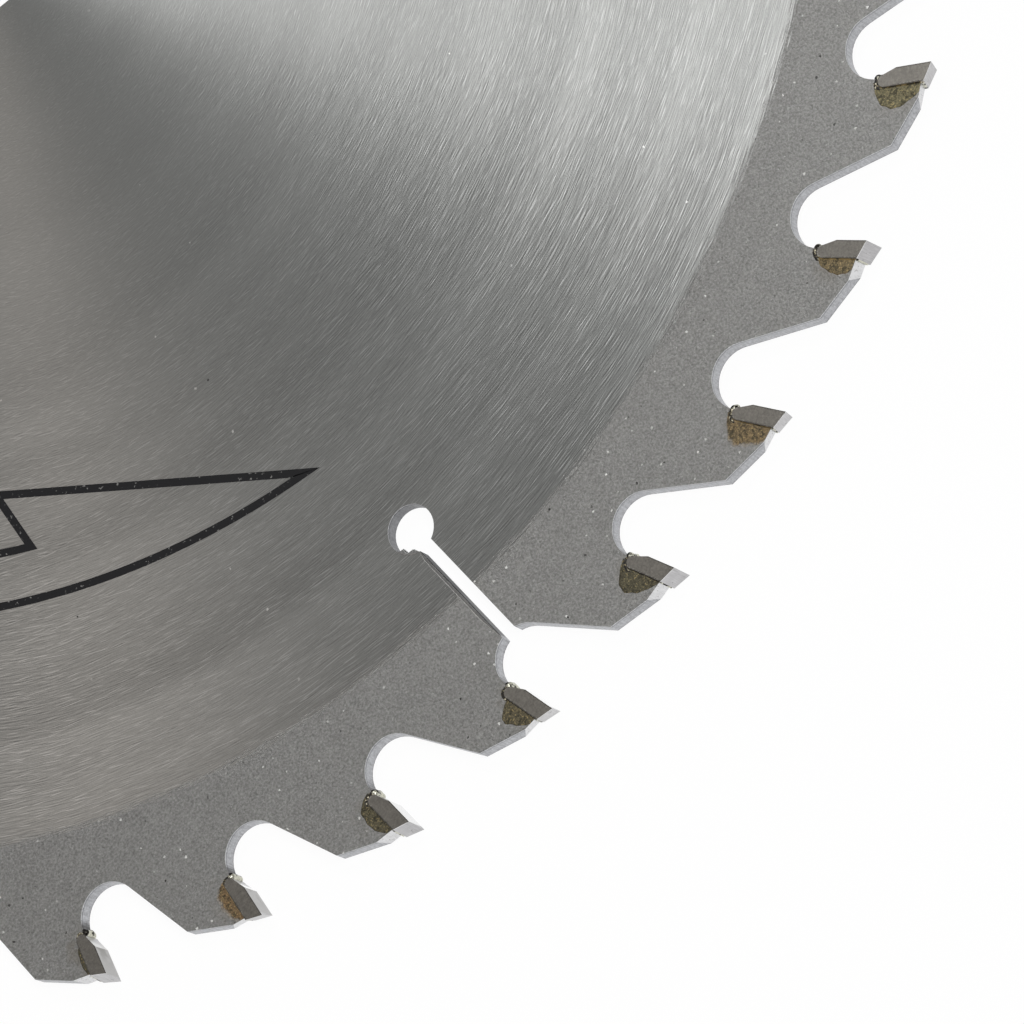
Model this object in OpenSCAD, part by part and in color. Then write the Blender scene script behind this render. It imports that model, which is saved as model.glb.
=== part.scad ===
// Circular saw blade with brazed carbide tips, lying flat on the lower corners of its tips.
// Millimetres. The axis is Z, the bore's centre is at X = Y = 0, and the lowest tip corners are at Z = 0.
// Seen from above, the rake faces look counter-clockwise, which is the way the blade turns.

/* [Blade] */
// radius of the cutting circle
blade_r = 92; // [85:0.5:100]
// thickness of the steel plate
plate_t = 1.3; // [1.1:0.05:1.6]
// diameter of the arbor bore
bore_d = 15.875; // [15:0.005:20]

/* [Carbide tip] */
// width of cut, across the two cutting corners of a tip
kerf_w = 2; // [1.9:0.05:2.6]
// thickness of a tip, from its rake face to its back
tip_t = 1.4; // [1.2:0.05:1.7]
// length of a tip along its rake face
tip_len = 4.5; // [4:0.1:5.2]
// length of the flat rake face, before the inner front sets back
rake_len = 2.9; // [2.4:0.1:3.2]
// set-back of the inner front, beside the centre of the rounded root
front_set = 0.4; // [0.3:0.02:0.5]
// radius of the rounded root end
root_r = 0.5; // [0.44:0.02:0.6]
// hook angle of the rake face, from the radius
hook_angle = 16; // [10:0.5:20]
// clearance angle of the ground top, from the cutting circle
top_angle = 10; // [6:0.5:14]
// alternate bevel angle of the ground top and heel, across a tip
bevel_angle = 10; // [5:0.5:15]
// side relief angle toward the back of a tip, on each side
back_relief = 3.5; // [2.5:0.25:6]
// side relief angle toward the root of a tip, on each side
root_relief = 0.8; // [0.5:0.05:1.2]

/* [Braze] */
// thickness of the braze film between a tip and its seat
film_t = 0.1; // [0.06:0.01:0.16]
// radius of the braze bead at a tip's root
bead_r = 0.35; // [0.25:0.02:0.45]

/* [Tooth back and gullet] */
// angle of the tooth back as cut, from the cutting circle
land_angle = 17; // [14:0.5:20]
// radius of the kink in the tooth back, below the cutting circle
kink_drop = 1.47; // [1.2:0.05:2]
// angle from a cutting edge back to the kink
kink_angle = 4.3; // [3.6:0.1:4.8]
// distance down the rake face to the ground heel of the tooth back, at the seat
heel_drop = 1.12; // [0.96:0.02:1.3]
// angle by which the ground heel rises from the cutting circle, toward the kink
heel_rise = 3; // [0:0.5:8]
// radius of the gullet floor
gullet_r = 2.7; // [2.3:0.05:3]
// distance from the centre of a tip's root to the gullet floor
gullet_lip = 0.36; // [0.3:0.02:0.42]
// angle of the gullet's centre, from square in front of a tip's root toward the bore
gullet_angle = 11; // [6:1:16]

/* [Expansion slots] */
// number of expansion slots
slots = 4; // [2:1:5]
// width of an expansion slot
slot_w = 1.3; // [0.8:0.05:2]
// diameter of the round hole that ends a slot
slot_hole_d = 4.1; // [3:0.1:6]
// distance from the cutting circle to the centre of the end hole
slot_depth = 20.2; // [16:0.1:26]
// angle from the tooth's cutting edge to the centre of the end hole
slot_bearing = -0.35; // [-1:0.05:1]
// lean of a slot from the radius
slot_lean = 6; // [0:0.5:12]

/* [Hidden] */
$fn = 48;

NODES = [
    "blade_body",
    "carbide_tip_01", "carbide_tip_02", "carbide_tip_03", "carbide_tip_04", "carbide_tip_05",
    "carbide_tip_06", "carbide_tip_07", "carbide_tip_08", "carbide_tip_09", "carbide_tip_10",
    "carbide_tip_11", "carbide_tip_12", "carbide_tip_13", "carbide_tip_14", "carbide_tip_15",
    "carbide_tip_16", "carbide_tip_17", "carbide_tip_18", "carbide_tip_19", "carbide_tip_20",
    "carbide_tip_21", "carbide_tip_22", "carbide_tip_23", "carbide_tip_24", "carbide_tip_25",
    "carbide_tip_26", "carbide_tip_27", "carbide_tip_28", "carbide_tip_29", "carbide_tip_30",
    "carbide_tip_31", "carbide_tip_32", "carbide_tip_33", "carbide_tip_34", "carbide_tip_35",
    "carbide_tip_36", "carbide_tip_37", "carbide_tip_38", "carbide_tip_39", "carbide_tip_40",
    "braze_joints"
];

// every node but the plate and the braze is a tip
teeth = len(NODES) - 2;
tooth_step = 360 / teeth;

mid_z = kerf_w / 2;
plate_z = mid_z - plate_t / 2;
big = 4 * kerf_w + 2 * tip_len;

// A tip is drawn in its own frame: from the cutting edge, X runs down the rake face and Y to the tip's back.
tip_turn = 180 + hook_angle;
function turned(v, a) = [v[0] * cos(a) - v[1] * sin(a), v[0] * sin(a) + v[1] * cos(a)];
function on_tip(v) = [blade_r, 0] + turned(v, tip_turn);
function cross_of(a, b) = a[0] * b[1] - a[1] * b[0];

// centre of the rounded root, and the line of the seat behind the braze film
root_c = [tip_len - root_r, tip_t - root_r];
seat_p = tip_t + film_t;
seat_r = root_r + film_t;

// kink of the tooth back, and the heel where the back as cut meets the line of the seat
kink = (blade_r - kink_drop) * [cos(kink_angle), -sin(kink_angle)];
land = turned([0, 1], -land_angle);
seat_line = turned([1, 0], tip_turn);
heel = on_tip([0, seat_p]) + cross_of(kink - on_tip([0, seat_p]), land) / cross_of(seat_line, land) * seat_line;
land_len = norm(heel - kink);
heel_at = on_tip([heel_drop, seat_p]);

// centre of the gullet in front of a tip's root, and the lip of the plate between gullet and seat
gullet_far = gullet_r + gullet_lip;
gullet_way = turned([0, -1], gullet_angle);
gullet_c = on_tip(root_c + gullet_far * gullet_way);
lip_a = (seat_r * seat_r - gullet_r * gullet_r + gullet_far * gullet_far) / (2 * gullet_far);
lip_h = sqrt(seat_r * seat_r - lip_a * lip_a);
lip = root_c + lip_a * gullet_way + lip_h * turned(gullet_way, 90);

// slope from the kink of the tooth ahead, which runs into the gullet
kink_ahead = turned(kink, tooth_step);
slope_v = kink_ahead - gullet_c;
slope_turn = atan2(slope_v[1], slope_v[0]) - asin(gullet_r / norm(slope_v));
slope_len = sqrt(slope_v * slope_v - gullet_r * gullet_r);

// centre of a slot's end hole, and the slot's length to the middle of its gullet
hole_at = blade_r - slot_depth;
hole_c = hole_at * [cos(slot_bearing), sin(slot_bearing)];
slot_len = norm(gullet_c) - hole_at;

// Frame of the first tooth's tip.
module tip_frame() {
    translate([blade_r, 0, 0])
        rotate([0, 0, tip_turn])
            children();
}

// Side view of a tip. Its outer end runs past the cutting circle and is cut by the ground top.
module tip_side() {
    polygon([
        [-tip_t, 0],
        [rake_len, 0],
        [root_c[0], front_set],
        [root_c[0], tip_t],
        [-tip_t, tip_t]
    ]);
    translate(root_c)
        circle(r = root_r);
}

// Seat of a tip, open toward the chip space in front of it.
module seat_side() {
    translate([-tip_len, -gullet_r])
        square([tip_len + root_c[0], gullet_r + seat_p]);
    translate(root_c)
        circle(r = seat_r);
}

// Gullet with the chip space along the slope of the tooth ahead.
module gullet_side() {
    translate(gullet_c)
        rotate(slope_turn) {
            circle(r = gullet_r);
            translate([0, -gullet_r])
                square([slope_len + tip_len, 2 * gullet_r]);
        }
}

// Space outside the back of the tooth ahead.
module land_side() {
    translate(kink_ahead)
        rotate(tooth_step + 90 - land_angle)
            translate([-tip_t, -tip_len])
                square([land_len + 2 * tip_t, tip_len]);
}

// Space that is cut out of the blank for one tooth pitch.
module tooth_gap_side() {
    tip_frame()
        seat_side();
    gullet_side();
    land_side();
}

// One expansion slot: the round end hole and the slot to the gullet.
module slot_side() {
    translate(hole_c) {
        circle(d = slot_hole_d);
        rotate(slot_bearing + slot_lean)
            translate([0, -slot_w / 2])
                square([slot_len, slot_w]);
    }
}

// The high cutting corner of a tip lies on its upper side where this is 1, and on its lower side where it is -1.
function lean_of(k) = k % 2 == 1 ? 1 : -1;

// Space above the ground top of a tip, which falls across the tip from the high cutting corner.
module above_top(lean) {
    translate([blade_r, 0, mid_z + lean * kerf_w / 2])
        rotate([0, 0, -top_angle])
            rotate([0, lean * bevel_angle, 0])
                translate([0, -big / 2, -big / 2])
                    cube([big, big, big]);
}

// Space above the ground heel of a tooth back, which leans across the plate as its tip does.
module above_heel(lean) {
    translate([heel_at[0], heel_at[1], mid_z])
        rotate([0, 0, heel_rise])
            rotate([0, lean * bevel_angle, 0])
                translate([0, -big / 2, -big / 2])
                    cube([big, big / 2 + tip_t, big]);
}

// Steel plate with its bore, gullets, tip seats and expansion slots.
// Each tooth back has its heel ground off, right behind the tip.
module blade_body() {
    color([0.55, 0.55, 0.54])
        difference() {
            translate([0, 0, plate_z])
                linear_extrude(height = plate_t)
                    difference() {
                        circle(r = blade_r);
                        circle(d = bore_d);
                        for (i = [0 : teeth - 1])
                            rotate(i * tooth_step)
                                tooth_gap_side();
                        for (i = [0 : slots - 1])
                            rotate(round(i * teeth / slots) * tooth_step)
                                slot_side();
                    }
            for (k = [1 : teeth])
                rotate((k - 1) * tooth_step)
                    above_heel(lean_of(k));
        }
}

// Space beside a tip. Each side draws in toward the back and toward the root from its cutting corner.
module beside_tip() {
    translate([0, 0, kerf_w / 2])
        rotate([-back_relief, root_relief, 0])
            translate([-big / 2, -big / 2, 0])
                cube([big, big, big]);
}

// One carbide tip at the first tooth.
module tip_form(lean) {
    difference() {
        translate([0, 0, mid_z])
            tip_frame()
                difference() {
                    linear_extrude(height = 3 * kerf_w, center = true)
                        tip_side();
                    beside_tip();
                    mirror([0, 0, 1])
                        beside_tip();
                }
        above_top(lean);
    }
}

// The carbide tip of tooth number k, counted counter-clockwise from 1.
module carbide_tip(k) {
    color([0.42, 0.41, 0.40])
        rotate((k - 1) * tooth_step)
            tip_form(lean_of(k));
}

// Side view of one braze joint: the film on the seat, and the bead that closes it at the lip.
module braze_side() {
    difference() {
        intersection() {
            tip_frame() {
                polygon([
                    [-tip_t, root_c[1]],
                    root_c,
                    lip,
                    [tip_len + tip_t, lip[1]],
                    [tip_len + tip_t, 2 * tip_t],
                    [-tip_t, 2 * tip_t]
                ]);
                translate(lip)
                    circle(r = bead_r);
            }
            tooth_gap_side();
        }
        tip_frame()
            tip_side();
    }
}

// All braze joints, as wide as the plate and ground together with their tips.
module braze_joints() {
    color([0.62, 0.52, 0.30])
        for (k = [1 : teeth])
            rotate((k - 1) * tooth_step)
                difference() {
                    translate([0, 0, plate_z])
                        linear_extrude(height = plate_t)
                            braze_side();
                    above_top(lean_of(k));
                }
}

blade_body();
carbide_tip(1);  // carbide_tip_01
carbide_tip(2);  // carbide_tip_02
carbide_tip(3);  // carbide_tip_03
carbide_tip(4);  // carbide_tip_04
carbide_tip(5);  // carbide_tip_05
carbide_tip(6);  // carbide_tip_06
carbide_tip(7);  // carbide_tip_07
carbide_tip(8);  // carbide_tip_08
carbide_tip(9);  // carbide_tip_09
carbide_tip(10);  // carbide_tip_10
carbide_tip(11);  // carbide_tip_11
carbide_tip(12);  // carbide_tip_12
carbide_tip(13);  // carbide_tip_13
carbide_tip(14);  // carbide_tip_14
carbide_tip(15);  // carbide_tip_15
carbide_tip(16);  // carbide_tip_16
carbide_tip(17);  // carbide_tip_17
carbide_tip(18);  // carbide_tip_18
carbide_tip(19);  // carbide_tip_19
carbide_tip(20);  // carbide_tip_20
carbide_tip(21);  // carbide_tip_21
carbide_tip(22);  // carbide_tip_22
carbide_tip(23);  // carbide_tip_23
carbide_tip(24);  // carbide_tip_24
carbide_tip(25);  // carbide_tip_25
carbide_tip(26);  // carbide_tip_26
carbide_tip(27);  // carbide_tip_27
carbide_tip(28);  // carbide_tip_28
carbide_tip(29);  // carbide_tip_29
carbide_tip(30);  // carbide_tip_30
carbide_tip(31);  // carbide_tip_31
carbide_tip(32);  // carbide_tip_32
carbide_tip(33);  // carbide_tip_33
carbide_tip(34);  // carbide_tip_34
carbide_tip(35);  // carbide_tip_35
carbide_tip(36);  // carbide_tip_36
carbide_tip(37);  // carbide_tip_37
carbide_tip(38);  // carbide_tip_38
carbide_tip(39);  // carbide_tip_39
carbide_tip(40);  // carbide_tip_40
braze_joints();
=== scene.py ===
"""Circular saw blade with brazed carbide tips, lying flat on a pale floor."""
import math
import random
from collections import namedtuple

import bpy
from mathutils import Euler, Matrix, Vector


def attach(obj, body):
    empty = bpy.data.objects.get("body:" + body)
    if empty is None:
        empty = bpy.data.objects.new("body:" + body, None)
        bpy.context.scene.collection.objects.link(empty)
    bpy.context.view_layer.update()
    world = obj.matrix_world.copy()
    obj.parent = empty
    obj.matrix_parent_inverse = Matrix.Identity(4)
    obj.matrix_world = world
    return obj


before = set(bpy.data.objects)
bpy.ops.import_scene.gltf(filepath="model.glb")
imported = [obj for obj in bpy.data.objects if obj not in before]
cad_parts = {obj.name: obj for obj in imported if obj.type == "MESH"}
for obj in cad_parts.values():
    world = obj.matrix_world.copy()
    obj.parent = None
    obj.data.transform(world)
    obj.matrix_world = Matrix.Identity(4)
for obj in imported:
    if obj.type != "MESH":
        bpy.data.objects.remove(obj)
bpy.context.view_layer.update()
scene = bpy.context.scene
scene.view_settings.view_transform = "Standard"

# Sizes of the blade, in millimetres and degrees, as in the part's source
MM = 0.001
BLADE_R = 92.0
TEETH = 40
STEP = 2 * math.pi / TEETH
HOOK = math.radians(16)
TOP_ANGLE = math.radians(10)
PLATE_TOP = 1.65
PLATE_LOW = 0.35
TIP_TOP = 2.0
TIP_T = 1.4
SIDE_RELIEF = 0.061
ROOT_U = 4.0
ROOT_V = 0.9
ROOT_R = 0.5
SEAT_V = 1.5
HEEL_SLOPE = 0.231
LAND_U = 0.58
LAND_SLOPE = 0.649
GULLET_FLOOR_R = 84.0
SLOT_COUNT = 4
SLOT_HALF_W = 0.65
SLOT_HOLE_R = 2.05
SLOT_HOLE_AT = 71.8
SLOT_BEARING = math.radians(-0.35)
SLOT_LEAN = math.radians(6)

# Surface: the radius where the ground disc ends, the share of a tooth's turn that lies before its edge,
# the centres of the two sets of crossing scratches, and the sooty lip between gullet and tip
FINISH_R = 79.1
TOOTH_SHARE = 0.6
CROSSING_A = (-4.0, 5.0)
CROSSING_B = (5.0, -3.0)
LIP_U = 4.62
LIP_V = 0.45


# Node graphs

class Graph:
    """The node graph of a material or a world, written as sums and mixes."""

    def __init__(self, owner, output="ShaderNodeOutputMaterial"):
        self.owner = owner
        owner.use_nodes = True
        self.tree = owner.node_tree
        self.tree.nodes.clear()
        self.out = self.tree.nodes.new(output)

    def new(self, kind, **props):
        node = self.tree.nodes.new(kind)
        for key, value in props.items():
            setattr(node, key, value)
        return node

    def put(self, socket, value):
        if isinstance(value, bpy.types.NodeSocket):
            self.tree.links.new(value, socket)
        elif isinstance(value, tuple) and socket.type == "RGBA":
            socket.default_value = (*value, 1)
        else:
            socket.default_value = value

    def fill(self, node, *values):
        for socket, value in zip(node.inputs, values):
            if value is not None:
                self.put(socket, value)
        return node.outputs[0]

    def math(self, op, a, b=None, c=None, clamp=False):
        return self.fill(self.new("ShaderNodeMath", operation=op, use_clamp=clamp), a, b, c)

    def add(self, a, b):
        return self.math("ADD", a, b)

    def sub(self, a, b):
        return self.math("SUBTRACT", a, b)

    def mul(self, a, b):
        return self.math("MULTIPLY", a, b)

    def mad(self, a, b, c):
        return self.math("MULTIPLY_ADD", a, b, c)

    def most(self, a, b):
        return self.math("MAXIMUM", a, b)

    def gap(self, a, b):
        return self.math("ABSOLUTE", self.sub(a, b))

    def wave(self, noise, size):
        """A noise from 0 to 1 turned into one about zero, of the given size."""
        return self.mul(self.sub(noise, 0.5), size)

    def far(self, a, b):
        """Length of the vector (a, b)."""
        return self.math("SQRT", self.add(self.mul(a, a), self.mul(b, b)))

    def from_point(self, point):
        """Distance from a point beside the axis."""
        return self.far(self.add(self.x, -point[0]), self.add(self.y, -point[1]))

    def ramp(self, value, low, high, a=0.0, b=1.0):
        """a at low, b at high, and between them a smooth rise."""
        node = self.new("ShaderNodeMapRange", interpolation_type="SMOOTHSTEP")
        return self.fill(node, value, low, high, a, b)

    def mix(self, factor, a, b):
        node = self.new("ShaderNodeMix", data_type="RGBA")
        self.put(node.inputs[0], factor)
        self.put(node.inputs[6], a)
        self.put(node.inputs[7], b)
        return node.outputs[2]

    def blend(self, factor, a, b):
        node = self.new("ShaderNodeMix", data_type="FLOAT")
        self.put(node.inputs[0], factor)
        self.put(node.inputs[2], a)
        self.put(node.inputs[3], b)
        return node.outputs[0]

    def tint(self, colour, factor):
        """The colour times a number."""
        node = self.new("ShaderNodeVectorMath", operation="SCALE")
        self.put(node.inputs[0], colour)
        self.put(node.inputs[3], factor)
        return node.outputs[0]

    def vector(self, x, y, z):
        return self.fill(self.new("ShaderNodeCombineXYZ"), x, y, z)

    def moved(self, vector, offset):
        return self.fill(self.new("ShaderNodeVectorMath", operation="ADD"), vector, offset)

    def split(self, vector):
        node = self.new("ShaderNodeSeparateXYZ")
        self.put(node.inputs[0], vector)
        return node.outputs

    def noise(self, vector, scale, detail=2.0, rough=0.5):
        node = self.new("ShaderNodeTexNoise")
        self.put(node.inputs["Vector"], vector)
        node.inputs["Scale"].default_value = scale
        node.inputs["Detail"].default_value = detail
        node.inputs["Roughness"].default_value = rough
        return node.outputs[0]

    def cells(self, vector, scale):
        """Distance to the nearest of scattered points, and three numbers drawn for that point."""
        node = self.new("ShaderNodeTexVoronoi", voronoi_dimensions="2D")
        self.put(node.inputs["Vector"], vector)
        node.inputs["Scale"].default_value = scale
        return node.outputs[0], self.split(node.outputs[1])

    def random(self, value):
        node = self.new("ShaderNodeTexWhiteNoise", noise_dimensions="1D")
        self.put(node.inputs["W"], value)
        return node.outputs[0]

    def attribute(self, name):
        return self.new("ShaderNodeAttribute", attribute_name=name).outputs["Fac"]

    def bump(self, height, strength, distance):
        node = self.new("ShaderNodeBump")
        node.inputs["Strength"].default_value = strength
        node.inputs["Distance"].default_value = distance * MM
        self.put(node.inputs["Height"], height)
        return node.outputs[0]

    def place(self):
        """Position in millimetres, radius and angle about the blade's axis, and how flat the face lies."""
        self.pos = self.tint(self.new("ShaderNodeTexCoord").outputs["Object"], 1 / MM)
        self.x, self.y, self.z = self.split(self.pos)
        self.r = self.far(self.x, self.y)
        self.angle = self.math("ARCTAN2", self.y, self.x)
        normal = self.new("ShaderNodeNewGeometry").outputs["Normal"]
        self.flat = self.math("ABSOLUTE", self.split(normal)[2])

    def tooth(self):
        """The tooth's number from 0, and the point in its tip frame: u down the rake face, v behind it."""
        turned = self.mad(self.angle, 1 / STEP, TOOTH_SHARE + TEETH)
        self.number = self.math("FLOOR", turned)
        local = self.mul(self.sub(self.sub(turned, self.number), TOOTH_SHARE), STEP)
        self.lx = self.sub(self.mul(self.r, self.math("COSINE", local)), BLADE_R)
        self.ly = self.mul(self.r, self.math("SINE", local))
        self.u = self.add(self.mul(self.lx, -math.cos(HOOK)), self.mul(self.ly, -math.sin(HOOK)))
        self.v = self.add(self.mul(self.lx, math.sin(HOOK)), self.mul(self.ly, -math.cos(HOOK)))

    def shader(self, **sockets):
        node = self.new("ShaderNodeBsdfPrincipled")
        for key, value in sockets.items():
            self.put(node.inputs[key.replace("_", " ")], value)
        self.tree.links.new(node.outputs[0], self.out.inputs[0])
        return self.owner


def material(name):
    """A new material's graph, with the place on the blade at hand."""
    g = Graph(bpy.data.materials.new(name))
    g.place()
    g.tooth()
    return g


def level(display):
    """Linear value of a display level from 0 to 255."""
    c = display / 255
    return c / 12.92 if c <= 0.04045 else ((c + 0.055) / 1.055) ** 2.4


def shade(r, g, b):
    return (level(r), level(g), level(b))


# Steel plate

def streaks(g, ring, along, across, step=0.0):
    """Noise drawn out round the axis: along counts features per radian, across per millimetre."""
    x = g.mul(g.math("COSINE", g.angle), along)
    y = g.mul(g.math("SINE", g.angle), along)
    return g.noise(g.vector(x, y, g.mad(ring, across, step)), 1, 0)


def scratches(g, ring, along, across):
    """Streaks less the same ones moved half a feature over, about zero, so only thin lines are left."""
    return g.sub(streaks(g, ring, along, across), streaks(g, ring, along, across, 0.5))


def brushed_disc(g):
    """Ground disc: fine short scratches round the axis."""
    bands = g.add(g.wave(g.long, 0.10), g.wave(g.broad, 0.3))
    tone = g.mul(g.mad(g.fine, 0.8, g.add(bands, g.wave(g.grit, 0.3))), g.keen)
    face = g.tint(shade(167, 168, 166), g.add(tone, 1.0))
    bright = g.ramp(g.most(g.hair, g.cross), 0.18, 0.34, 0.0, 0.5)
    return g.mix(g.mul(bright, g.keen), face, shade(236, 237, 236))


def blasted_rim(g):
    """Matt rim with a coarse grain, a few pale grits and a few dark pits."""
    tone = g.add(g.wave(g.grain, 1.5), g.wave(g.mottle, 0.16))
    face = g.tint(shade(152, 152, 150), g.add(tone, 1.0))
    return specks(g, face, 0.75, 0.11)


def specks(g, face, per_mm, size):
    """Scattered specks: some pale, fewer dark, each of its own size and strength."""
    near, luck = g.cells(g.moved(g.pos, g.tint(g.shake, 0.25)), per_mm)
    inside = g.math("LESS_THAN", near, g.mul(luck[1], size * per_mm))
    face = g.mix(g.mul(inside, g.ramp(luck[0], 0.55, 1.0)), face, shade(236, 236, 234))
    return g.mix(g.mul(inside, g.ramp(luck[0], 0.30, 0.0, 0.0, 0.9)), face, shade(44, 43, 41))


def heat_tint(g, face):
    """A faint brown bloom close to the brazed seats."""
    seat = g.ramp(g.gap(g.v, 1.6), 0.2, 2.6, 1, 0)
    seat = g.mul(seat, g.mul(g.ramp(g.u, 5.8, 4.2), g.ramp(g.mottle, 0.42, 0.62)))
    return g.mix(g.mul(seat, 0.35), face, shade(118, 108, 92))


def cut_wall(g, ground):
    """Walls of gullets and slots: marks of the cut, a painted highlight along the upper edge, a dark lower
    line, painted shade on the walls of the slots and their holes, and soot.
    """
    marks = g.noise(g.vector(g.mul(g.x, 7), g.mul(g.y, 7), g.mul(g.z, 0.9)), 1, 3, 0.6)
    high = g.mul(g.sub(g.z, PLATE_LOW), 1 / (PLATE_TOP - PLATE_LOW))
    high = g.add(high, g.wave(marks, 0.16))
    # painted highlight: a pale line along the wall's upper edge
    wall_top_highlight = g.ramp(high, 0.91, 0.96)
    under_top = g.mul(g.ramp(high, 0.76, 0.86), g.ramp(high, 0.95, 0.91))
    dark_line = g.most(g.ramp(high, 0.10, 0.03), under_top)
    rough_cut = g.add(g.wave(marks, 0.9), g.wave(g.grain, 0.9))
    wall = g.tint(shade(176, 177, 180), g.add(rough_cut, 1.0))
    # painted shade: the walls of the slots and their holes are darkened, less so on the inner half of each
    # hole
    slot = g.ramp(g.r, GULLET_FLOOR_R - 0.3, GULLET_FLOOR_R + 0.2, g.ramp(g.r, 20, 22), 0.0)
    slot_shade_strength = g.ramp(g.r, SLOT_HOLE_AT, SLOT_HOLE_AT + 0.7, 0.5, 0.9)
    wall = g.mix(g.mul(slot, slot_shade_strength), wall, shade(66, 66, 67))
    wall = g.mix(g.mul(dark_line, 0.5), wall, shade(96, 97, 99))
    wall = g.mix(g.mul(wall_top_highlight, 0.6), wall, shade(216, 217, 219))
    lip = g.far(g.sub(g.u, LIP_U), g.sub(g.v, LIP_V))
    soot = g.ramp(g.add(lip, g.wave(marks, 0.9)), 0.45, 1.35, 1, 0)
    wall = g.mix(g.mul(soot, 0.8), wall, shade(56, 54, 52))
    heel = g.tint(shade(216, 216, 217), g.add(g.wave(marks, 0.5), 1.0))
    heel = g.mix(g.ramp(g.grain, 0.58, 0.72, 0.0, 0.6), heel, shade(122, 118, 110))
    return g.mix(ground, wall, heel)


def steel_plate():
    g = material("steel_plate")
    bend = g.add(g.mul(g.noise(g.pos, 0.06, 1), 1.4), g.mul(g.noise(g.pos, 0.45, 1), 0.05))
    ring = g.add(g.r, bend)
    # two more sets of scratches lie about centres beside the axis, so they cross the first
    g.fine = scratches(g, ring, 44, 10.0)
    g.hair = scratches(g, g.from_point(CROSSING_A), 32, 8.0)
    g.cross = scratches(g, g.from_point(CROSSING_B), 38, 8.0)
    g.long = streaks(g, ring, 6, 2.2)
    g.broad = streaks(g, ring, 1.6, 0.3)
    # the scratches are softer toward the bore
    g.keen = g.ramp(g.r, 25, 68, 0.35, 1.0)
    g.grain = g.noise(g.pos, 5.0, 2, 0.7)
    g.grit = g.noise(g.pos, 10, 1)
    g.mottle = g.noise(g.pos, 0.5, 3, 0.6)
    g.shake = g.vector(g.noise(g.pos, 7.0, 1), g.noise(g.pos, 6.1, 1), 0.0)
    # scratches of the disc run out into the rim one by one
    edge = g.add(g.r, g.mad(g.hair, 1.2, g.mul(g.fine, 1.2)))
    disc = g.ramp(edge, FINISH_R - 0.25, FINISH_R + 0.25, 1, 0)
    wall = g.ramp(g.flat, 0.45, 0.65, 1, 0)
    ground = g.mul(wall, g.ramp(g.flat, 0.04, 0.08))
    dusty = specks(g, brushed_disc(g), 0.15, 0.13)
    face = heat_tint(g, g.mix(disc, blasted_rim(g), dusty))
    rough = g.blend(disc, g.add(g.wave(g.grain, 0.2), 0.56), g.mad(g.fine, 0.1, 0.47))
    rough = g.blend(wall, rough, g.mad(ground, -0.12, 0.4))
    sway = g.mad(g.fine, 0.045, g.mul(g.add(g.hair, g.cross), 0.03))
    along = g.mad(sway, g.keen, g.add(g.wave(g.long, 0.008), 0.25))
    turn = g.blend(g.math("GREATER_THAN", disc, 0.5), g.noise(g.pos, 15, 0), along)
    tangent = g.new("ShaderNodeTangent", direction_type="RADIAL", axis="Z").outputs[0]
    height = g.blend(disc, g.grain, g.mul(g.fine, 0.35))
    return g.shader(
        Base_Color=g.mix(wall, face, cut_wall(g, ground)), Metallic=1.0, Roughness=rough,
        Anisotropic=0.85, Anisotropic_Rotation=turn, Tangent=tangent, Normal=g.bump(height, 0.5, 0.04),
    )


# Carbide tips

def tip_side(g, grain, wash):
    """Dark matt side of a tip, with faint marks along its thickness and a painted highlight along its edges
    at the back.
    """
    lines = g.noise(g.vector(g.mul(g.u, 7), g.mul(g.v, 1.2), g.number), 1, 2)
    own = g.mad(g.random(g.number), 0.16, 0.92)
    tone = g.add(g.add(g.wave(grain, 0.9), g.wave(lines, 0.35)), g.add(g.wave(wash, 0.3), own))
    dull = g.tint(shade(132, 129, 123), tone)
    hub = g.far(g.sub(g.u, ROOT_U), g.sub(g.v, ROOT_V))
    # painted highlight: a pale line along the rounded root and the back edge, broken up by the grain
    root = g.mul(g.ramp(hub, ROOT_R - 0.14, ROOT_R - 0.08), g.ramp(g.u, ROOT_U - 0.1, ROOT_U))
    painted_edge_highlight = g.most(root, g.ramp(g.v, TIP_T - 0.14, TIP_T - 0.08))
    dull = g.mix(g.mul(painted_edge_highlight, g.ramp(grain, 0.50, 0.70, 0.0, 0.6)), dull, shade(212, 210, 204))
    sides = g.most(g.ramp(g.v, TIP_T - 0.06, TIP_T - 0.01), g.ramp(g.v, 0.10, 0.03))
    rim = g.most(g.ramp(hub, ROOT_R - 0.05, ROOT_R - 0.01), sides)
    near_side = g.ramp(g.gap(g.v, TIP_T / 2), TIP_T / 2 - 0.11, TIP_T / 2 - 0.06)
    rim = g.mul(rim, g.most(g.ramp(g.u, ROOT_U - 0.05, ROOT_U), near_side))
    return g.mix(g.mul(rim, 0.55), dull, shade(62, 60, 57))


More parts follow.
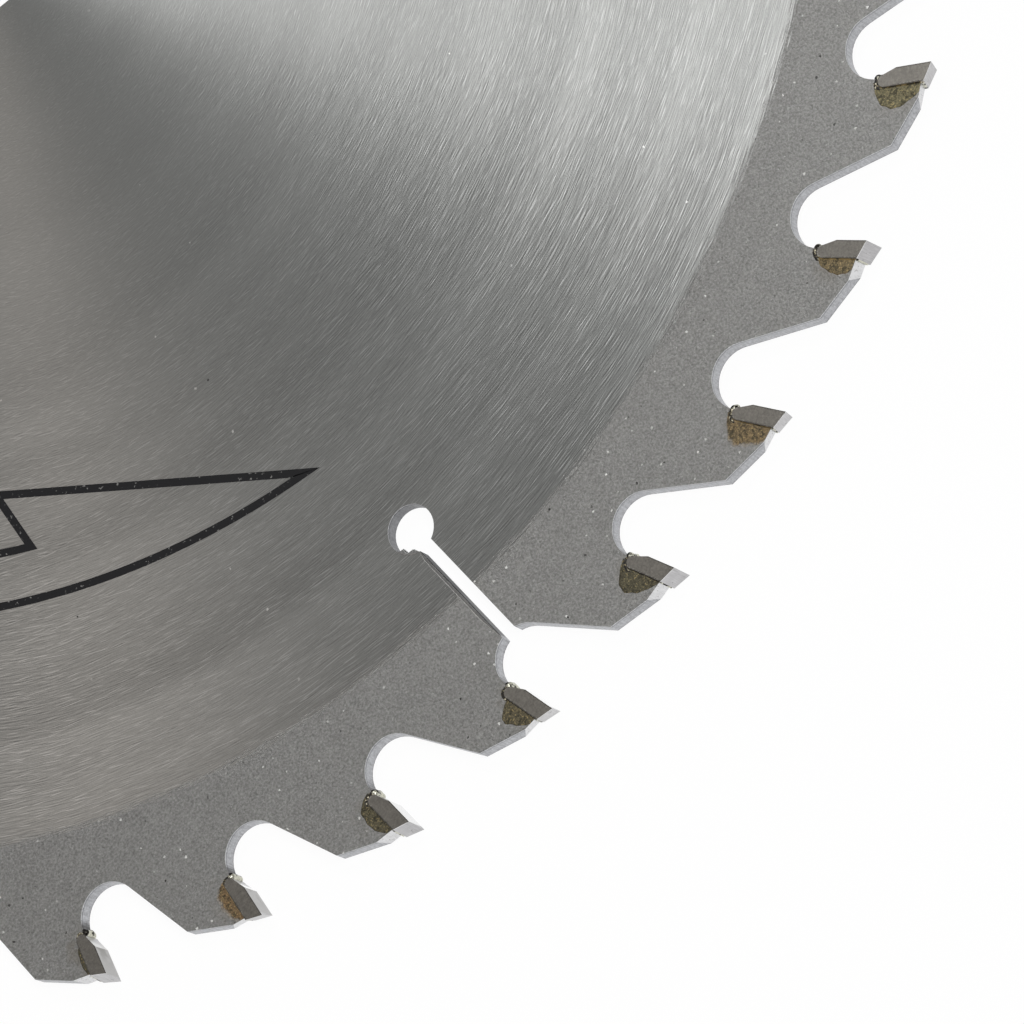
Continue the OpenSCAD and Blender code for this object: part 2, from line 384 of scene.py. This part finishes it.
def tip_ground(g, wash):
    """Ground faces of a tip: bright with wheel marks. The rake face has a painted white reflection where it
    is seen at a glancing angle, and is duller where it is seen square on.
    """
    lines = g.noise(g.vector(g.mul(g.v, 15), g.mul(g.z, 0.8), g.number), 1, 2)
    tone = g.add(g.add(g.wave(lines, 0.6), g.wave(wash, 0.4)), g.mad(g.random(g.number), 0.2, 0.9))
    polish = g.tint(shade(184, 183, 184), tone)
    # painted highlight: a pale line along the top cutting edge
    top_edge_highlight = g.ramp(g.add(g.z, g.mul(g.v, SIDE_RELIEF)), TIP_TOP - 0.10, TIP_TOP - 0.05)
    polish = g.mix(g.mul(top_edge_highlight, 0.6), polish, shade(244, 244, 244))
    pits = g.ramp(g.noise(g.pos, 3.1, 1), 0.70, 0.74)
    polish = g.mix(g.mul(pits, 0.6), polish, shade(90, 88, 86))
    facing = g.new("ShaderNodeLayerWeight").outputs["Facing"]
    stained = g.mul(g.ramp(g.u, 0.5, 4.0), g.ramp(wash, 0.40, 0.62, 0.0, 0.9))
    rake = g.mix(stained, shade(172, 171, 170), shade(120, 118, 113))
    # painted reflection: the rake face turns pure white where it is seen at a glancing angle
    rake = g.mix(g.ramp(facing, 0.70, 0.86), rake, shade(255, 255, 255))
    top = g.add(g.mul(g.lx, math.cos(TOP_ANGLE)), g.mul(g.ly, -math.sin(TOP_ANGLE)))
    front = g.mul(g.ramp(g.v, 0.30, 0.10), g.ramp(top, -0.25, -0.40))
    return g.mix(front, polish, rake)


def carbide():
    g = material("carbide")
    side = g.ramp(g.flat, 0.8, 0.95)
    grain = g.noise(g.pos, 6, 3, 0.7)
    wash = g.noise(g.pos, 0.9, 2)
    colour = g.mix(side, tip_ground(g, wash), tip_side(g, grain, wash))
    rough = g.blend(side, 0.28, g.mad(grain, 0.2, 0.36))
    return g.shader(Base_Color=colour, Metallic=1.0, Roughness=rough, Normal=g.bump(grain, 0.2, 0.03))


# Braze and its residues

def braze():
    """Solid braze: pale where it wets the tip, with painted shade turning it black on the plate's side of
    the root, and random black patches of burnt braze.
    """
    g = material("braze")
    lump = g.noise(g.pos, 4.5, 3, 0.6)
    patch = g.noise(g.pos, 2.0, 2)
    # painted shade toward the plate's side of the root, together with random burnt patches
    shade_and_burn = g.most(g.ramp(g.add(g.u, g.wave(patch, 0.5)), 4.54, 4.70), g.ramp(patch, 0.52, 0.60))
    colour = g.mix(shade_and_burn, shade(196, 195, 180), shade(40, 38, 34))
    return g.shader(
        Base_Color=g.tint(colour, g.add(g.wave(lump, 0.9), 1.0)), Metallic=0.9,
        Roughness=g.mad(lump, 0.3, 0.15), Normal=g.bump(lump, 0.5, 0.06),
    )


def braze_film():
    """Braze that ran out over the plate, with gold and sooty grains: olive with a dark rim, or rust."""
    g = material("braze_film")
    tone = g.attribute("tone")
    deep = g.attribute("deep")
    rim = g.attribute("rim")
    rust = g.attribute("rust")
    cloud = g.noise(g.pos, 1.6, 3, 0.6)
    grain = g.noise(g.pos, 7, 2, 0.7)
    mixed = g.math("ADD", tone, g.wave(cloud, 0.9), clamp=True)
    colour = g.mix(mixed, shade(82, 78, 62), g.mix(rust, shade(125, 119, 90), shade(138, 111, 78)))
    blotch = g.noise(g.pos, 2.6, 2, 0.6)
    colour = g.mix(g.ramp(blotch, 0.52, 0.38, 0.0, 0.7), colour, shade(50, 48, 38))
    colour = g.tint(colour, g.add(g.wave(grain, 2.4), 1.0))
    colour = g.mix(g.mul(g.ramp(grain, 0.58, 0.70), 0.55), colour, shade(190, 168, 114))
    colour = g.mix(g.mul(g.ramp(grain, 0.40, 0.28), 0.6), colour, shade(40, 37, 29))
    outline = g.mul(g.ramp(g.add(rim, g.wave(grain, 0.2)), 0.14, 0.02), g.ramp(rust, 0.2, 0.7, 0.55, 0.0))
    colour = g.mix(outline, colour, shade(52, 48, 40))
    fade = g.mul(g.ramp(g.add(rim, g.wave(cloud, 0.9)), 0.45, 0.0, 0.0, 0.9), g.ramp(rust, 0.5, 0.7))
    colour = g.mix(fade, colour, g.tint(shade(152, 150, 145), g.add(g.wave(grain, 1.2), 1.0)))
    # a dark line along the seam against the tip, painted as the shadow of the tip's overhanging back; where
    # the film is gold the line is gold braze
    seam_shadow = g.ramp(g.add(deep, g.wave(cloud, 0.1)), 0.12, 0.03)
    gold = g.mul(g.ramp(tone, 0.5, 0.6), g.ramp(cloud, 0.42, 0.52))
    colour = g.mix(g.mul(seam_shadow, 0.75), colour, g.mix(gold, shade(34, 31, 25), shade(200, 172, 112)))
    return g.shader(
        Base_Color=colour, Metallic=0.55, Roughness=g.mad(grain, 0.3, 0.36),
        Normal=g.bump(grain, 0.5, 0.06),
    )


def burnt_flux():
    """Burnt flux round a tip's root, nearly black, with pale and golden grains."""
    g = material("burnt_flux")
    grain = g.noise(g.pos, 5, 2, 0.6)
    colour = g.mix(g.ramp(grain, 0.49, 0.60), shade(30, 28, 25), shade(120, 110, 82))
    colour = g.mix(g.ramp(grain, 0.58, 0.66), colour, shade(220, 216, 196))
    return g.shader(
        Base_Color=colour, Metallic=0.3, Roughness=g.mad(grain, 0.4, 0.2),
        Normal=g.bump(grain, 0.5, 0.08),
    )


def scorched_edge():
    """Burr beside a slot: black at the cut, grey across, and a pale line along its outer foot."""
    g = material("scorched_edge")
    across = g.attribute("across")
    grain = g.noise(g.pos, 5, 3, 0.7)
    waver = g.add(across, g.wave(grain, 0.2))
    colour = g.mix(g.ramp(waver, 0.10, 0.24), shade(40, 40, 41), shade(136, 136, 135))
    colour = g.mix(g.ramp(waver, 0.80, 0.88), colour, shade(220, 220, 218))
    colour = g.tint(colour, g.add(g.wave(grain, 0.7), 1.0))
    return g.shader(Base_Color=colour, Metallic=1.0, Roughness=0.45, Normal=g.bump(grain, 0.4, 0.04))


def printed_ink():
    """Black printing ink, with pin-holes where the steel shows through."""
    g = material("printed_ink")
    grain = g.noise(g.pos, 3.4, 2, 0.6)
    colour = g.mix(g.ramp(grain, 0.64, 0.72), shade(24, 24, 26), shade(116, 116, 114))
    return g.shader(
        Base_Color=colour, Metallic=0.0, Roughness=g.mad(grain, 0.2, 0.5), Specular_IOR_Level=0.2,
        Normal=g.bump(grain, 0.2, 0.02),
    )


def dress(node, look):
    slots = node.data.materials
    if not slots:
        slots.append(look)
    for i in range(len(slots)):
        slots[i] = look


plate_look = steel_plate()
carbide_look = carbide()
braze_look = braze()
for name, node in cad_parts.items():
    if name == "blade_body":
        dress(node, plate_look)
    elif name == "braze_joints":
        dress(node, braze_look)
    else:
        dress(node, carbide_look)


# Added pieces

class Piece:
    """A mesh gathered from closed shapes, with a number per point where a material needs one."""

    def __init__(self, *keys):
        self.verts = []
        self.faces = []
        self.floats = {key: [] for key in keys}

    def close(self, points, faces, **floats):
        """Add one closed shape with its faces looking outward."""
        first = Vector(points[0])
        volume = 0.0
        for face in faces:
            corners = [Vector(points[i]) - first for i in face]
            for b, c in zip(corners[1:], corners[2:]):
                volume += corners[0].dot(b.cross(c))
        base = len(self.verts)
        self.verts += points
        for face in faces:
            self.faces.append([base + i for i in (face if volume > 0 else face[::-1])])
        for key, values in floats.items():
            self.floats[key] += values

    def slab(self, top, low, **floats):
        """A sheet between two grids of points. The numbers are given for the points of the top grid."""
        n = len(top)
        m = len(top[0])

        def quads(grid):
            return [[grid(i, j), grid(i, j + 1), grid(i + 1, j + 1), grid(i + 1, j)]
                    for i in range(n - 1) for j in range(m - 1)]

        faces = quads(lambda i, j: i * m + j)
        faces += [face[::-1] for face in quads(lambda i, j: (n + i) * m + j)]
        border = [(0, j) for j in range(m - 1)] + [(i, m - 1) for i in range(n - 1)]
        border += [(n - 1, j) for j in range(m - 1, 0, -1)] + [(i, 0) for i in range(n - 1, 0, -1)]
        ring = [i * m + j for i, j in border]
        for a, b in zip(ring, ring[1:] + ring[:1]):
            faces.append([b, a, n * m + a, n * m + b])
        points = [p for row in top for p in row] + [p for row in low for p in row]
        flat = {key: [value for row in grid for value in row] for key, grid in floats.items()}
        self.close(points, faces, **{key: 2 * values for key, values in flat.items()})

    def tube(self, rings, ends=True):
        """A skin over rings of points. Without ends the last ring joins the first."""
        n = len(rings)
        m = len(rings[0])
        faces = []
        for i in range(n - 1 if ends else n):
            for j in range(m):
                o = (i + 1) % n
                t = (j + 1) % m
                faces.append([i * m + j, o * m + j, o * m + t, i * m + t])
        if ends:
            faces.append(list(range(m)))
            faces.append(list(range(n * m - 1, (n - 1) * m - 1, -1)))
        self.close([p for ring in rings for p in ring], faces)

    def finish(self, name, look, smooth=True):
        mesh = bpy.data.meshes.new(name)
        mesh.from_pydata(self.verts, [], self.faces)
        mesh.polygons.foreach_set("use_smooth", [smooth] * len(self.faces))
        for key, values in self.floats.items():
            mesh.attributes.new(key, "FLOAT", "POINT").data.foreach_set("value", values)
        mesh.materials.append(look)
        mesh.update()
        obj = bpy.data.objects.new(name, mesh)
        scene.collection.objects.link(obj)
        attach(obj, "root")


def turned(x, y, z, angle):
    """A point in millimetres, turned about the axis, in metres."""
    c = math.cos(angle)
    s = math.sin(angle)
    return ((x * c - y * s) * MM, (x * s + y * c) * MM, z * MM)


def on_tooth(k, u, v, z):
    """A point of tooth k's tip frame, in metres in the part's frame."""
    x = BLADE_R - math.cos(HOOK) * u + math.sin(HOOK) * v
    y = -math.sin(HOOK) * u - math.cos(HOOK) * v
    return turned(x, y, z, (k - 1) * STEP)


def on_slot(i, x, y, z):
    """A point beside slot i, from its hole's centre along and across, in metres in the part's frame."""
    way = SLOT_BEARING + SLOT_LEAN
    px = SLOT_HOLE_AT * math.cos(SLOT_BEARING) + x * math.cos(way) - y * math.sin(way)
    py = SLOT_HOLE_AT * math.sin(SLOT_BEARING) + x * math.sin(way) + y * math.cos(way)
    return turned(px, py, z, 2 * math.pi * i / SLOT_COUNT)


def off_plate(upper, rise):
    """Height of a point that stands off the plate's upper or lower face."""
    return PLATE_TOP + rise if upper else PLATE_LOW - rise


# Films of braze beside the tips: where one starts below the root, its greatest width, how far along it is
# widest, the share of that width left at the heel, its tone from dark to light, and from olive to rust.
Film = namedtuple("Film", "root wide peak tail tone rust")
# The films on the upper side of the teeth in view, by tooth number. The others are drawn by lot.
SEEN_FILMS = {
    35: Film(4.95, 1.80, 0.44, 0.48, 0.57, 0.0),
    34: Film(4.40, 1.25, 0.80, 0.75, 0.60, 0.5),
    33: Film(5.00, 2.05, 0.52, 0.60, 0.55, 0.7),
    32: Film(5.00, 1.85, 0.48, 0.10, 0.05, 0.0),
    31: Film(4.00, 1.65, 0.41, 0.40, 0.20, 0.3),
    30: Film(5.00, 1.22, 0.48, 0.55, 0.10, 0.1),
    29: Film(4.75, 1.32, 0.49, 0.55, 0.55, 1.0),
    28: Film(3.75, 0.42, 0.57, 0.60, 0.00, 0.0),
}
HEEL_HIGH = 1.04
HEEL_LOW = 1.27
FILM_ROWS = 30
FILM_COLUMNS = 9
FILM_H = 0.03
FILM_FILLET_H = 0.07
FILM_FILLET_W = 0.12
SUNK = 0.05


def chance_film(rng):
    return Film(
        rng.uniform(3.8, 5.0), rng.uniform(0.6, 1.8), rng.uniform(0.40, 0.75), rng.uniform(0.2, 0.7),
        rng.uniform(0.0, 0.7), rng.uniform(0.0, 1.0),
    )


def heel_line(heel, v):
    """How far down the rake face the plate's back begins at v: the ground heel, then the land."""
    behind = v - SEAT_V
    return max(heel + HEEL_SLOPE * behind, LAND_U + LAND_SLOPE * behind)


def tip_back(u):
    """Outline of a tip's back and rounded root."""
    below = u - ROOT_U
    if below <= 0:
        return TIP_T
    return ROOT_V + math.sqrt(max(0.0, ROOT_R ** 2 - below ** 2))


def film_width(film, t):
    """Share of a film's greatest width at t, from 0 at its root to 1 at the heel."""
    if t < film.peak:
        return math.sqrt(max(0.0, 1 - ((film.peak - t) / film.peak) ** 2))
    return 1 - (1 - film.tail) * ((t - film.peak) / (1 - film.peak)) ** 2


def braze_films():
    """Thin films of braze on both sides of the plate, each thickest against its tip."""
    rng = random.Random(5)
    piece = Piece("tone", "rust", "deep", "rim")
    for k in range(1, TEETH + 1):
        for upper in (True, False):
            lot = chance_film(rng)
            film = SEEN_FILMS.get(k, lot) if upper else lot
            heel = HEEL_HIGH if (k % 2 == 1) == upper else HEEL_LOW
            phase = rng.uniform(0, 6)
            top = []
            low = []
            deep = []
            rim = []
            for i in range(FILM_ROWS):
                t = i / (FILM_ROWS - 1)
                back = tip_back(film.root + (heel - film.root) * t)
                waver = 1 + 0.05 * math.sin(9 * t + phase) + 0.03 * math.sin(23 * t + 2 * phase)
                reach = (film.wide + TIP_T - back) * film_width(film, t) * waver + 0.02
                ends = min(1.0, 6 * t + 0.2, 6 * (1 - t) + 0.2)
                line = []
                for j in range(FILM_COLUMNS):
                    s = j / (FILM_COLUMNS - 1)
                    v = back + reach * s
                    u = film.root + (heel_line(heel, v) - film.root) * t
                    rise = FILM_H * (1 - s ** 4) + FILM_FILLET_H * math.exp(-reach * s / FILM_FILLET_W)
                    line.append((u, v, rise * ends - 0.004 * s))
                top.append([on_tooth(k, u, v, off_plate(upper, rise)) for u, v, rise in line])
                low.append([on_tooth(k, u, v, off_plate(upper, -SUNK)) for u, v, rise in line])
                deep.append([reach * j / (FILM_COLUMNS - 1) for j in range(FILM_COLUMNS)])
                rim.append([reach - d for d in deep[-1]])
            tone = [[film.tone] * FILM_COLUMNS] * FILM_ROWS
            rust = [[film.rust] * FILM_COLUMNS] * FILM_ROWS
            piece.slab(top, low, tone=tone, rust=rust, deep=deep, rim=rim)
    piece.finish("braze_films", braze_film())


BEAD_U = 4.52
BEAD_V = 0.57
BEAD_R = 0.36
BEAD_HALF_H = 0.77


def braze_beads():
    """A lumpy bead of braze in the lip between gullet and tip, right through the plate."""
    rng = random.Random(11)
    piece = Piece()
    rings, sides = 11, 16
    for k in range(1, TEETH + 1):
        wide_u = BEAD_R + rng.uniform(-0.05, 0.05)
        wide_v = BEAD_R + rng.uniform(-0.05, 0.05)
        mid_u = BEAD_U + rng.uniform(-0.06, 0.06)
        mid_v = BEAD_V + rng.uniform(-0.08, 0.05)
        phase = rng.uniform(0, 6)
        skin = []
        for j in range(rings):
            t = 2 * j / (rings - 1) - 1
            fat = max(0.25, math.sqrt(1 - abs(t) ** 5))
            ring = []
            for i in range(sides):
                a = 2 * math.pi * i / sides
                lump = 1 + 0.10 * math.sin(3 * a + phase + 2.5 * t) + 0.08 * math.sin(5 * t + 2 * phase)
                lump += rng.uniform(-0.04, 0.04)
                u = mid_u + wide_u * fat * lump * math.cos(a)
                v = mid_v + wide_v * fat * lump * math.sin(a)
                ring.append(on_tooth(k, u, v, (PLATE_TOP + PLATE_LOW) / 2 + t * BEAD_HALF_H))
            skin.append(ring)
        piece.tube(skin)
    piece.finish("braze_beads", braze_look)


def flux_crescents():
    """A ridge of burnt flux round the root of each tip, on both sides of the plate."""
    rng = random.Random(23)
    piece = Piece()
    rings, sides = 20, 10
    for k in range(1, TEETH + 1):
        for upper in (True, False):
            start = math.radians(rng.uniform(-34, -22))
            stop = math.radians(rng.uniform(45, 105))
            way = rng.uniform(0.60, 0.72)
            wide = rng.uniform(0.10, 0.17)
            phase = rng.uniform(0, 6)
            skin = []
            for i in range(rings):
                t = i / (rings - 1)
                a = start + (stop - start) * t
                fat = wide * (0.25 + math.sin(math.pi * (0.1 + 0.9 * t)) ** 0.6 if t < 1 else 0.25)
                fat *= 1 + 0.18 * math.sin(9 * t + phase)
                ring = []
                for j in range(sides):
                    b = 2 * math.pi * j / sides
                    d = way + fat * math.cos(b) + rng.uniform(-0.012, 0.012)
                    z = off_plate(upper, 0.01 + 0.55 * fat * math.sin(b))
                    ring.append(on_tooth(k, ROOT_U + d * math.cos(a), ROOT_V + d * math.sin(a), z))
                skin.append(ring)
            piece.tube(skin)
    piece.finish("flux_crescents", burnt_flux())


BURR_W = 0.30
BURR_H = 0.03
BURR_LAP = 0.03
BURR_END = 12.3
HOLE_DROSS = (-76, -20)
DROSS_LAP = 0.04
DROSS_H = 0.012
DROSS_DEEP = 0.5


def slot_burrs():
    """The burr along the trailing edge of each slot, and the dross that hangs in its hole beside it."""
    rng = random.Random(31)
    piece = Piece("across")
    start = math.sqrt(SLOT_HOLE_R ** 2 - SLOT_HALF_W ** 2)
    rows, columns = 60, 5
    share = [j / (columns - 1) for j in range(columns)]
    for i in range(SLOT_COUNT):
        top = []
        low = []
        for r in range(rows):
            t = r / (rows - 1)
            x = start + 0.05 + (BURR_END - start) * t
            wide = BURR_W * min(1.0, 0.3 + 9 * t, 0.15 + 4 * (1 - t)) * rng.uniform(0.95, 1.05)
            edge = BURR_LAP - SLOT_HALF_W
            line = [(edge - (wide + BURR_LAP) * s, BURR_H * (1 - s * s) + 0.002) for s in share]
            top.append([on_slot(i, x, y, PLATE_TOP + h) for y, h in line])
            low.append([on_slot(i, x, y, PLATE_TOP - SUNK) for y, h in line])
        piece.slab(top, low, across=[share] * rows)
        top = []
        low = []
        first, last = HOLE_DROSS
        for r in range(rows):
            t = r / (rows - 1)
            a = math.radians(first + (last - first) * t)
            ends = min(1.0, 6 * t, 6 * (1 - t))
            drop = ends * (0.26 + 0.10 * math.sin(11 * t + 2 * i) + rng.uniform(-0.05, 0.05))
            reach = [SLOT_HOLE_R + DROSS_LAP - (drop + 0.05) * s for s in share]
            line = [(d * math.cos(a), d * math.sin(a)) for d in reach]
            top.append([on_slot(i, x, y, PLATE_TOP + DROSS_H) for x, y in line])
            low.append([on_slot(i, x, y, PLATE_TOP - DROSS_DEEP) for x, y in line])
        piece.slab(top, low, across=[[0.6 - 0.35 * s for s in share]] * rows)
    piece.finish("slot_burrs", scorched_edge())


# Arrow that shows the way round: the centre and radii of its curved edges, its corners and its plain tail
ARROW_C = (8.76, 9.22)
ARROW_OUTER_R = 71.82
ARROW_INNER_R = 67.34
ARROW_TIP_DEG = 259.39
ARROW_NOTCH_DEG = 238.37
ARROW_TAIL_DEG = 216.0
ARROW_BARB = (-26.48, -42.22)
INK_W = 0.68
INK_H = 0.012
INK_SUNK = 0.02


def arrow_arc(radius, first, last, count):
    turns = [math.radians(first + (last - first) * i / (count - 1)) for i in range(count)]
    return [(ARROW_C[0] + radius * math.cos(a), ARROW_C[1] + radius * math.sin(a)) for a in turns]


def mitred(path, i, side):
    """Point i of a closed path, moved to one side by half the ink's width, with a mitre at corners."""
    here = Vector(path[i])
    before = (here - Vector(path[i - 1])).normalized()
    after = (Vector(path[(i + 1) % len(path)]) - here).normalized()
    across = Vector((-before.y - after.y, before.x + after.x)).normalized()
    stretch = 1 / max(0.15, across.dot(Vector((-before.y, before.x))))
    return here + across * (side * stretch * INK_W / 2)


def rotation_arrow():
    """A printed outline arrow on the upper face, as a thin closed band of ink."""
    path = arrow_arc(ARROW_OUTER_R, ARROW_TAIL_DEG, ARROW_TIP_DEG, 60)
    path.append(ARROW_BARB)
    path += arrow_arc(ARROW_INNER_R, ARROW_NOTCH_DEG, ARROW_TAIL_DEG, 40)
    rings = []
    for i in range(len(path)):
        left = mitred(path, i, 1)
        right = mitred(path, i, -1)
        corners = [(left, INK_H), (left, -INK_SUNK), (right, -INK_SUNK), (right, INK_H)]
        rings.append([turned(p.x, p.y, PLATE_TOP + h, 0.0) for p, h in corners])
    piece = Piece()
    piece.tube(rings, ends=False)
    piece.finish("rotation_arrow", printed_ink(), smooth=False)


braze_films()
braze_beads()
flux_crescents()
slot_burrs()
rotation_arrow()


# Floor, light and camera

FLOOR_R = 14.0
FLOOR_Z = -0.00003
FLOOR_GREY = 0.86
FLOOR_WHITE = 0.96
HORIZON = 0.92
OVERHEAD = 0.28
KEY_AT = (0.345, -0.30, 0.63)
FILL_AT = (-0.48, -0.136, 0.624)
BACK_AT = (0.10, 0.14, 0.34)
WHITE = (1.0, 1.0, 1.0)
WARM = (1.0, 0.88, 0.80)


def floor():
    """A pale floor that looks white and still keeps the blade's shadow."""
    corners = 48
    turns = [2 * math.pi * i / corners for i in range(corners)]
    mesh = bpy.data.meshes.new("floor")
    points = [(FLOOR_R * math.cos(a), FLOOR_R * math.sin(a), FLOOR_Z) for a in turns]
    mesh.from_pydata(points, [], [list(range(corners))])
    obj = bpy.data.objects.new("floor", mesh)
    scene.collection.objects.link(obj)
    g = Graph(bpy.data.materials.new("pale_floor"))
    path = g.new("ShaderNodeLightPath").outputs
    seen = g.most(g.most(path["Is Camera Ray"], path["Is Glossy Ray"]), path["Is Transmission Ray"])
    lit = g.fill(g.new("ShaderNodeBsdfDiffuse"), (FLOOR_GREY, FLOOR_GREY, FLOOR_GREY))
    white = g.fill(g.new("ShaderNodeEmission"), WHITE)
    both = g.fill(g.new("ShaderNodeMixShader"), g.mul(seen, FLOOR_WHITE), lit, white)
    below = g.new("ShaderNodeNewGeometry").outputs["Backfacing"]
    clear = g.new("ShaderNodeBsdfTransparent").outputs[0]
    g.put(g.out.inputs[0], g.fill(g.new("ShaderNodeMixShader"), below, both, clear))
    mesh.materials.append(g.owner)


def lamp(name, at, size, power, colour):
    """A square area lamp that looks at the origin."""
    data = bpy.data.lights.new(name, "AREA")
    data.size = size
    data.energy = power
    data.color = colour
    obj = bpy.data.objects.new(name, data)
    obj.location = at
    obj.rotation_euler = (-Vector(at)).to_track_quat("-Z", "Y").to_euler()
    obj.visible_camera = False
    scene.collection.objects.link(obj)


def studio():
    """A pale tent, a key lamp to the right, a warm fill to the left and a near lamp behind the right."""
    scene.world = bpy.data.worlds.new("studio")
    g = Graph(scene.world, "ShaderNodeOutputWorld")
    z = g.split(g.new("ShaderNodeTexCoord").outputs["Generated"])[2]
    tent = g.ramp(z, 0.02, 0.5, HORIZON, OVERHEAD)
    g.put(g.out.inputs[0], g.fill(g.new("ShaderNodeBackground"), WHITE, tent))
    lamp("key", KEY_AT, size=0.2, power=2.75, colour=WHITE)
    lamp("fill", FILL_AT, size=0.3, power=0.9, colour=WARM)
    lamp("back", BACK_AT, size=0.12, power=0.40, colour=WHITE)


CAMERA_AT = (0.09024, -0.28303, 0.36302)
CAMERA_TURN = (15.53, 27.865, -37.222)
CAMERA_LENS = 193.18


def camera():
    data = bpy.data.cameras.new("camera")
    data.sensor_width = 36
    data.lens = CAMERA_LENS
    data.clip_start = 0.01
    data.clip_end = 50
    obj = bpy.data.objects.new("camera", data)
    obj.location = CAMERA_AT
    obj.rotation_euler = Euler([math.radians(a) for a in CAMERA_TURN])
    scene.collection.objects.link(obj)
    scene.camera = obj


floor()
studio()
camera()
